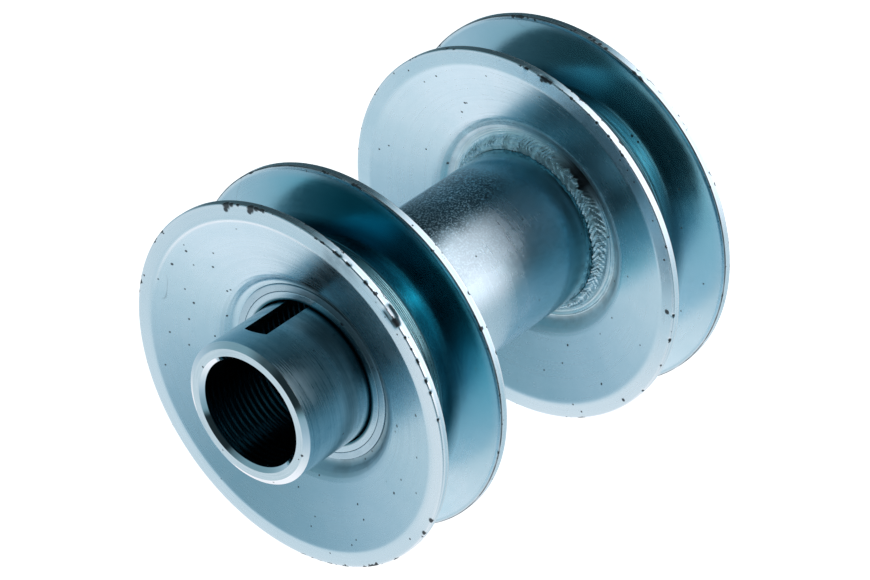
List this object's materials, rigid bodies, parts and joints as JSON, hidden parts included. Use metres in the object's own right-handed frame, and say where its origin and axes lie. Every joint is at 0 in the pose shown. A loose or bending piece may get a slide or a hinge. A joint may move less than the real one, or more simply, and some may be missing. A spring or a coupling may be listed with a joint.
{
  "type": "double v-belt pulley",
  "caption": "Steel pulley for a keyed shaft: V-belt sheaves welded near the ends of a spacer tube, with the bored sleeve standing out at the front",
  "frame": {"origin": "On the axis, in the plane of the rear sheave's outer rim, which is the lowest plane of the part", "axes": "+Z runs along the axis to the sleeve's long front end. The key slot is on the -Y side. X follows"},
  "size_m": [0.0906, 0.0906, 0.108],
  "materials": {
    "plated_sleeve": "satin blue zinc",
    "plated_tube": "frosted blue zinc",
    "plated_sheave": "satin blue zinc",
    "plated_weld": "rough blue zinc"
  },
  "bodies": {
    "root": {"keyed_sleeve": "plated_sleeve", "spacer_tube": "plated_tube", "front_sheave": "plated_sheave", "rear_sheave": "plated_sheave", "front_face_weld": "plated_weld", "rear_face_weld": "plated_weld", "front_inner_weld": "plated_weld", "rear_inner_weld": "plated_weld"}
  },
  "joints": []
}
